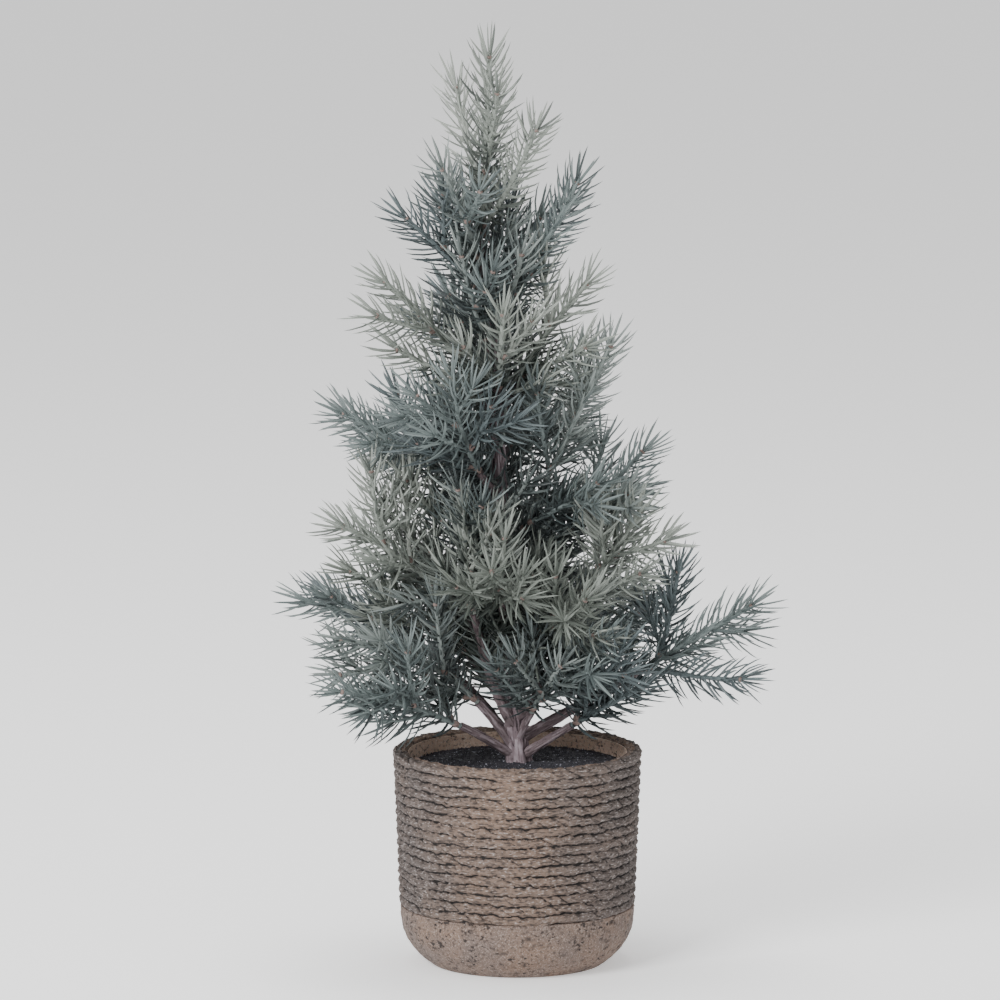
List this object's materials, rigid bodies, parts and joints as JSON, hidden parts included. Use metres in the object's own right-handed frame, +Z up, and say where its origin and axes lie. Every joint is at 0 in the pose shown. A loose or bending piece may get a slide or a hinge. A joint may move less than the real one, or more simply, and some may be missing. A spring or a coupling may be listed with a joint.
{
  "type": "artificial potted pine tree",
  "caption": "Tabletop artificial pine with upswept needled shoots on bare lower limbs, in a round cement pot wound with rope.",
  "frame": {"origin": "centre of the pot's flat underside", "axes": "+Z up along the pot's axis, -Y towards the front, +X to the right seen from the front"},
  "size_m": [0.2345, 0.1919, 0.4529],
  "materials": {
    "pot_cement": "matte",
    "filling": "matte",
    "bark": "matte",
    "needles_sage": "matte",
    "needles_blue": "matte",
    "needles_dark": "matte"
  },
  "bodies": {
    "root": {"pot": "pot_cement", "soil": "filling", "trunk": "bark", "upper_left_bough": "bark", "upper_right_bough": "bark", "upper_back_bough": "bark", "mid_left_bough": "bark", "mid_right_bough": "bark", "mid_back_bough": "bark", "mid_back_left_bough": "bark", "right_high_bough": "bark", "right_mid_bough": "bark", "left_mid_bough": "bark", "left_front_bough": "bark", "back_mid_bough": "bark", "low_left_bough": "bark", "low_front_left_bough": "bark", "bottom_left_bough": "bark", "left_back_bough": "bark", "bottom_right_bough": "bark", "far_right_bough": "bark", "right_low_bough": "bark", "bottom_back_bough": "bark", "back_right_bough": "bark", "leader_mass": "needles_sage", "crown_left_mass": "needles_dark", "crown_front_mass": "needles_blue", "crown_right_mass": "needles_blue", "crown_back_mass": "needles_dark", "shoulder_left_mass": "needles_blue", "shoulder_right_mass": "needles_blue", "upper_left_mass": "needles_sage", "upper_front_mass": "needles_sage", "upper_right_mass": "needles_sage", "upper_back_mass": "needles_dark", "mid_left_mass": "needles_blue", "mid_front_mass": "needles_blue", "mid_right_mass": "needles_blue", "mid_back_mass": "needles_dark", "mid_back_left_mass": "needles_dark", "right_high_mass": "needles_dark", "right_mid_mass": "needles_sage", "front_right_mass": "needles_sage", "front_high_mass": "needles_sage", "front_left_mass": "needles_blue", "left_mid_mass": "needles_sage", "left_front_mass": "needles_sage", "back_mid_mass": "needles_dark", "back_left_mass": "needles_blue", "low_left_mass": "needles_sage", "low_front_left_mass": "needles_blue", "bottom_left_mass": "needles_dark", "left_back_mass": "needles_dark", "bottom_right_mass": "needles_dark", "far_right_mass": "needles_blue", "front_low_mass": "needles_blue", "right_low_mass": "needles_blue", "bottom_back_mass": "needles_dark", "back_right_mass": "needles_dark"}
  },
  "joints": []
}
